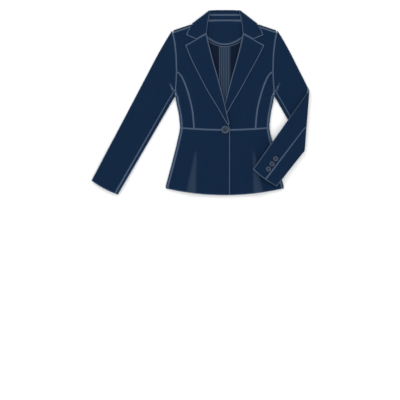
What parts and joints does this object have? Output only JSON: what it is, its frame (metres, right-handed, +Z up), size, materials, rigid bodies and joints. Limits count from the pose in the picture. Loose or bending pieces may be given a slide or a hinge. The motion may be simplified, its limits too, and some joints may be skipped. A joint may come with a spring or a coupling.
{
  "type": "single-breasted peplum jacket laid flat, with one sleeve folded",
  "caption": "Fitted jacket with notched lapels, princess seams and a flared peplum, laid flat with one sleeve folded across the front.",
  "frame": {"origin": "on the surface that the jacket lies on, under the middle of its outline", "axes": "+Z up from the surface, out of the jacket's front; +Y towards the collar; +X towards the wearer's left side"},
  "size_m": [0.805, 0.6848, 0.0371],
  "materials": {
    "suiting": "matt navy twill",
    "lining": "dark satin",
    "button": "polished resin"
  },
  "bodies": {
    "root": {"front_right": "suiting", "front_left": "suiting", "side_front_right": "suiting", "side_front_left": "suiting", "back_right": "suiting", "back_left": "suiting", "side_back_right": "suiting", "side_back_left": "suiting", "peplum_front_right": "suiting", "peplum_front_left": "suiting", "peplum_back": "suiting", "top_sleeve_right": "suiting", "under_sleeve_right": "suiting", "top_sleeve_left": "suiting", "under_sleeve_left": "suiting", "lapel_right": "suiting", "lapel_left": "suiting", "collar": "suiting", "collar_stand": "suiting", "back_neck_facing": "suiting", "neck_band": "lining", "lining_pleat": "lining", "back_lining_right": "lining", "back_lining_left": "lining", "front_button": "button", "cuff_button_right_1": "button", "cuff_button_right_2": "button", "cuff_button_right_3": "button", "cuff_button_left_1": "button", "cuff_button_left_2": "button", "cuff_button_left_3": "button"}
  },
  "joints": []
}
